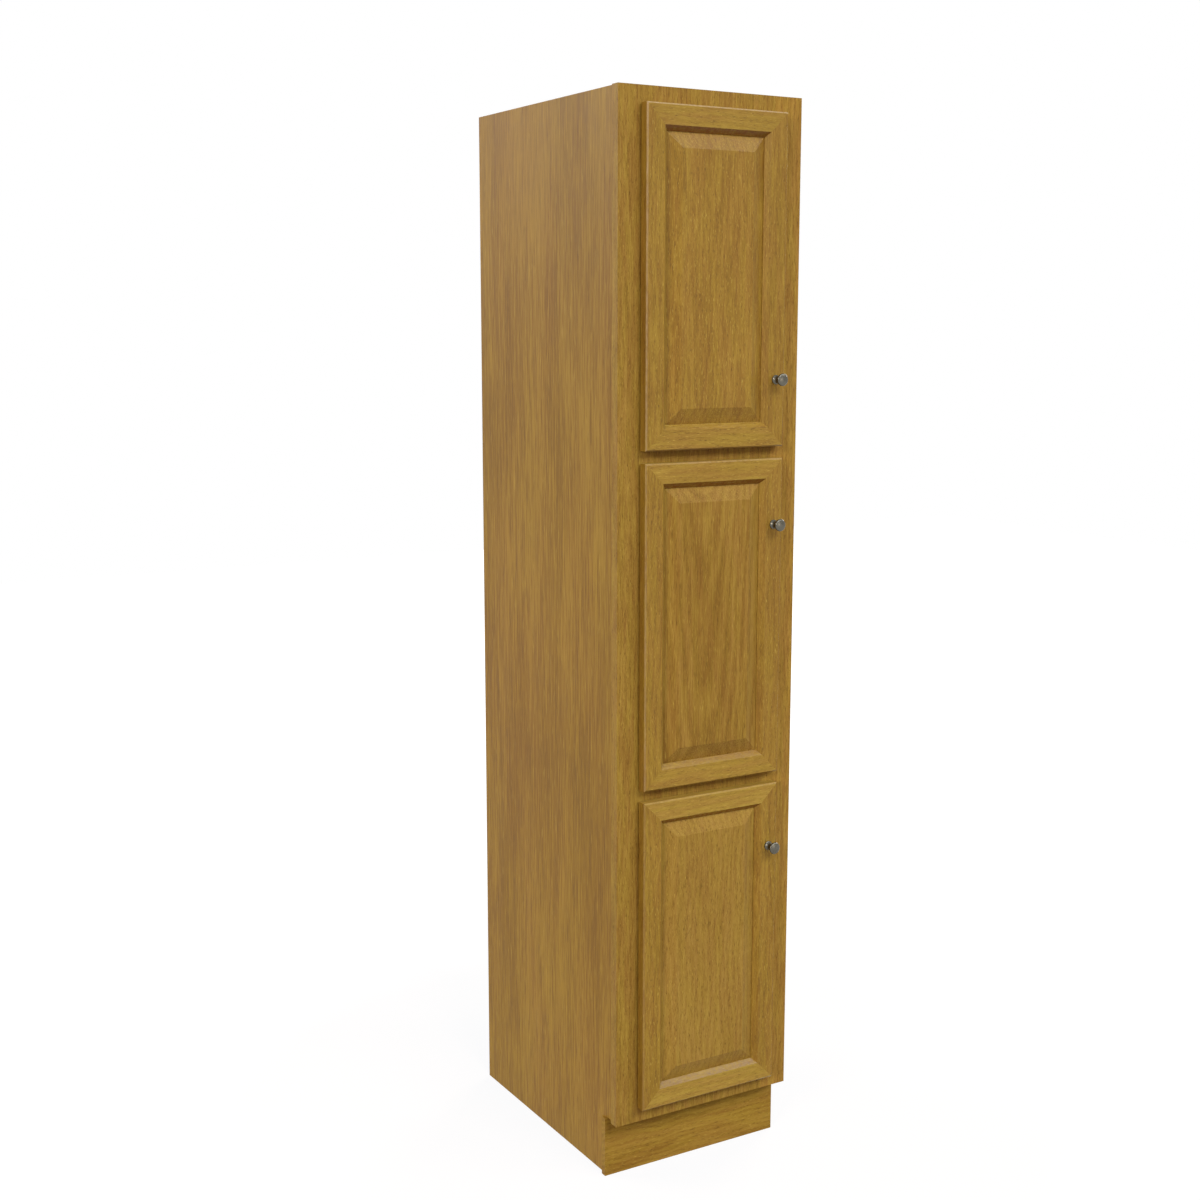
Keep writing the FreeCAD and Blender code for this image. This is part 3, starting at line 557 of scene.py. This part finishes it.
# The doors' boards: the way the outer chamfer faces, and how strong its pale patches of wear and
# painted highlight are on the top door
OUTER_WEAR_AND_HIGHLIGHT = {
    "hinge_stile": ((-1, -1, 0), 0.36),
    "knob_stile": ((1, -1, 0), 0.14),
    "top_rail": ((0, -1, 1), 0.48),
    "bottom_rail": ((0, -1, -1), 0.10),
}

# The ways the inner chamfers of the bottom and top rails face, and the most painted shade on the
# latter
LEDGE = (0, -1, 1)
UNDERSIDE = (0, -1, -1)
UNDERSIDE_SHADE_SHARE = 0.80

# How the boards of the doors' stiles differ in tone, and how much lighter the frame's right stile
# is
# painted: painted light against the shadow that the doors cast on it from the left lamp
STILE_TONE = (1.01, 1.03, 1.03)
RIGHT_FRAME_PAINTED_LIGHT = (1.13, 1.085, 1.09)

# The pieces that share a material, or a kind of it
FRAME_BOARDS = (
    "left_frame_stile", "top_frame_rail", "upper_frame_rail", "lower_frame_rail",
    "bottom_frame_rail",
)
PALE_BOARDS = (
    "top_panel", "bottom_panel", "lower_fixed_shelf", "upper_fixed_shelf", "lower_adjustable_shelf",
    "middle_adjustable_shelf", "upper_adjustable_shelf", "upper_nailer", "lower_nailer",
)
CASE_HARDWARE = ("shelf_pins", "hinge_arms", "hinge_arm_screws")
DOOR_HARDWARE = ("knob_screw", "hinge_cups", "hinge_pins", "cup_screws")


def give(name, material):
    """Put one material on the whole of a CAD piece."""
    piece = nodes[name]
    piece.data.materials.clear()
    piece.data.materials.append(material)


def middle(name):
    """The middle of a CAD piece in its own coordinates."""
    corners = [Vector(corner) for corner in nodes[name].bound_box]
    return sum(corners, Vector()) / len(corners)


def dress_frame():
    """Face frame and toe kick."""
    shift = SEED_STEP * FRAME_SEED
    oak = wood_group("oak_frame_grain", OAK_FRAME)
    frame_oak = board_material("oak_face_frame", oak, GRAIN_UP, shift, FRAME_GLOSS)
    for name in FRAME_BOARDS:
        give(name, frame_oak)
    # The right stile is painted lighter, painted light against the doors' shadow from the left lamp
    right_oak = wood_group("oak_right_frame_grain", toned(OAK_FRAME, RIGHT_FRAME_PAINTED_LIGHT))
    right = board_material("oak_right_frame", right_oak, GRAIN_UP, shift, FRAME_GLOSS)
    give("right_frame_stile", right)
    toe_oak = wood_group("oak_toe_grain", OAK_TOE)
    toe = board_material("oak_toe_kick", toe_oak, GRAIN_ACROSS, SEED_STEP * TOE_SEED, FRAME_GLOSS)
    give("toe_kick_board", toe)


def dress_case(maple):
    """Sides, back and the pale boards inside."""
    veneer = wood_group("oak_veneer_grain", OAK_VENEER)
    left = sheet_material("oak_left_side", veneer, maple, (-1, 0, 0), SEED_STEP * LEFT_SIDE_SEED)
    give("left_side_panel", left)
    right = sheet_material("oak_right_side", veneer, maple, (1, 0, 0), SEED_STEP * RIGHT_SIDE_SEED)
    give("right_side_panel", right)
    lauan = wood_group("lauan_grain", LAUAN)
    back = sheet_material("plywood_back", lauan, maple, (0, 1, 0), SEED_STEP * BACK_SEED)
    give("back_panel", back)
    for seed, name in enumerate(PALE_BOARDS, PALE_SEED):
        board = board_material(f"pale_{name}", maple, GRAIN_ACROSS, SEED_STEP * seed, BARE_GLOSS)
        give(name, board)


def dress_door(door, traits, stile_oak):
    """One door's panel, stiles and rails."""
    panel_oak = wood_group(f"oak_{door}_panel_grain", traits["panel"])
    shift = Vector(traits["from_heart"]) - middle(f"{door}_panel")
    gloss = traits["panel_gloss"]
    give(f"{door}_panel", board_material(f"oak_{door}_panel", panel_oak, GRAIN_UP, shift, gloss))
    # The rails are painted lighter on the lower doors, painted light for the light that falls off
    # downwards
    rail_oak = wood_group(f"oak_{door}_rail_grain", toned(OAK_LIGHT, traits["rail_painted_light"]))
    # Painted shade on the top rail's inner chamfer, and a painted sheen on the bottom rail's ledge
    inner_chamfers = {
        "top_rail": [(UNDERSIDE, UNDERSIDE_SHADE_SHARE, PAINTED_SHADE)],
        "bottom_rail": [(LEDGE, traits["ledge_sheen"], PAINTED_SHEEN)],
    }
    for seed, (part, (outward, most)) in enumerate(OUTER_WEAR_AND_HIGHLIGHT.items(), traits["seed"]):
        is_rail = part in inner_chamfers
        oak = rail_oak if is_rail else stile_oak
        turn = GRAIN_ACROSS if is_rail else GRAIN_UP
        # The outer chamfer gets pale patches of wear and painted highlight
        chamfers = [(outward, most * traits["wear_and_highlight"], WEAR_AND_HIGHLIGHT)] + inner_chamfers.get(part, [])
        name = f"{door}_{part}"
        give(name, board_material(f"oak_{name}", oak, turn, SEED_STEP * seed, chamfers=chamfers))


def dress_hardware(maple):
    """Knobs, hinges, screws, shelf pins, bumpers and the dowels in the joints."""
    nickel = metal_material("dull_nickel", *NICKEL)
    steel = metal_material("plated_steel", *STEEL)
    rubber = rubber_material()
    dowel = board_material("dowel_wood", maple, GRAIN_ACROSS, SEED_STEP * DOWEL_SEED)
    for name in CASE_HARDWARE:
        give(name, steel)
    give("frame_dowels", dowel)
    for door in DOORS:
        give(f"{door}_knob", nickel)
        give(f"{door}_corner_dowels", dowel)
        give(f"{door}_bumpers", rubber)
        for part in DOOR_HARDWARE:
            give(f"{door}_{part}", steel)


def dress():
    maple = wood_group("pale_grain", MAPLE)
    dress_case(maple)
    dress_frame()
    stile_oak = wood_group("oak_stile_grain", toned(OAK, STILE_TONE))
    for door, traits in DOORS.items():
        dress_door(door, traits, stile_oak)
    dress_hardware(maple)


# Studio

# The floor glows white where it is seen, a little more the further it is from the cabinet, and
# throws little of the lamps' light back
FLOOR_HALF = 8.0
FLOOR_COLOUR = rgb(0.17, 0.12, 0.085)
FLOOR_ROUGHNESS = 0.9
FLOOR_GLOW = rgb(0.92, 0.965, 1.0)
FLOOR_GLOW_REACH = (0.8, 3.0)
FLOOR_GLOW_LEVELS = (0.92, 1.2)

# The background that is seen, and the fill light that reaches the cabinet from all around
WHITE = rgb(1.0, 1.0, 1.0)
WHITE_LEVEL = 1.0
FILL_COLOUR = rgb(1.0, 0.87, 0.72)
FILL_LEVEL = 0.28

# The lamps point at the middle of the cabinet. Each has the way to it, its distance, width and
# height, the level that it gives to a surface that faces it, as a share of white, and its colour
LIT_POINT = Vector((0.0, 0.0, 0.95))
COOL = (0.97, 1.0, 1.05)
WARM = (1.10, 0.97, 0.86)
LAMPS = {
    "key_softbox": ((0.02, -0.77, 0.64), 60.0, 34.0, 26.0, 0.49, COOL),
    "front_softbox": ((0.30, -0.95, 0.02), 40.0, 12.0, 12.0, 0.06, WARM),
    "right_softbox": ((0.55, -0.58, 0.60), 40.0, 16.0, 16.0, 0.22, COOL),
    "side_softbox": ((-0.64, 0.70, 0.30), 30.0, 15.0, 11.0, 0.47, COOL),
    "left_softbox": ((-0.82, -0.46, 0.34), 26.0, 8.0, 8.0, 0.36, WARM),
    "back_softbox": ((0.80, 0.50, 0.33), 30.0, 14.0, 10.0, 0.46, COOL),
}

# The camera's lens and sensor in millimetres, its place, and its tilt and turn in degrees
CAMERA_LENS = 50.0
CAMERA_SENSOR = 36.0
CAMERA_PLACE = (-1.668, -2.70475, 1.5624)
CAMERA_TILT = 80.796
CAMERA_TURN = -30.38


def seen_directly(tree):
    """1 for rays that show the background itself: straight, mirrored or seen through."""
    path = add_node(tree, "ShaderNodeLightPath").outputs
    seen = math_node(tree, "MAXIMUM", path["Is Camera Ray"], path["Is Glossy Ray"])
    return math_node(tree, "MAXIMUM", seen, path["Is Transmission Ray"])


def floor_material():
    material, tree, shader = new_material("pale_floor")
    shader.inputs["Base Color"].default_value = FLOOR_COLOUR
    shader.inputs["Roughness"].default_value = FLOOR_ROUGHNESS
    shader.inputs["Specular IOR Level"].default_value = 0.0
    shader.inputs["Emission Color"].default_value = FLOOR_GLOW
    distance = vector_node(tree, "LENGTH", object_place(tree))["Value"]
    level = remap(tree, distance, FLOOR_GLOW_REACH, FLOOR_GLOW_LEVELS)
    glow = math_node(tree, "MULTIPLY", seen_directly(tree), level)
    tree.links.new(glow, shader.inputs["Emission Strength"])
    return material


def studio_floor():
    near, far = -FLOOR_HALF, FLOOR_HALF
    corners = [(near, near, 0), (far, near, 0), (far, far, 0), (near, far, 0)]
    mesh = bpy.data.meshes.new("studio_floor")
    mesh.from_pydata(corners, [], [(0, 1, 2, 3)])
    mesh.materials.append(floor_material())
    floor = bpy.data.objects.new("studio_floor", mesh)
    bpy.context.scene.collection.objects.link(floor)


def background(tree, colour, level):
    return add_node(tree, "ShaderNodeBackground", {"Color": colour, "Strength": level}).outputs[0]


def studio_world():
    """White where it is seen, and a dim warm fill light on the object."""
    world = bpy.data.worlds.new("studio_world")
    world.use_nodes = True
    bpy.context.scene.world = world
    tree = world.node_tree
    fill = background(tree, FILL_COLOUR, FILL_LEVEL)
    white = background(tree, WHITE, WHITE_LEVEL)
    inputs = {0: seen_directly(tree), 1: fill, 2: white}
    shown = add_node(tree, "ShaderNodeMixShader", inputs).outputs[0]
    tree.links.new(shown, tree.nodes["World Output"].inputs["Surface"])


def softbox(name, direction, distance, width, height, level, colour):
    """A soft rectangular lamp that the camera doesn't see."""
    place = Vector(direction).normalized() * distance
    lamp = bpy.data.lights.new(name, "AREA")
    lamp.shape = "RECTANGLE"
    lamp.size = width
    lamp.size_y = height
    lamp.energy = level * (math.pi * distance) ** 2
    lamp.color = colour
    light = bpy.data.objects.new(name, lamp)
    light.location = LIT_POINT + place
    light.rotation_euler = (-place).to_track_quat("-Z", "Y").to_euler()
    light.visible_camera = False
    bpy.context.scene.collection.objects.link(light)


def studio_lights():
    for name, traits in LAMPS.items():
        softbox(name, *traits)


def photo_camera():
    lens = bpy.data.cameras.new("photo_camera")
    lens.lens = CAMERA_LENS
    lens.sensor_width = CAMERA_SENSOR
    camera = bpy.data.objects.new("photo_camera", lens)
    camera.location = CAMERA_PLACE
    camera.rotation_euler = (math.radians(CAMERA_TILT), 0.0, math.radians(CAMERA_TURN))
    bpy.context.scene.collection.objects.link(camera)
    bpy.context.scene.camera = camera


dress()
studio_floor()
studio_world()
studio_lights()
photo_camera()
bpy.context.scene.view_settings.view_transform = "Standard"
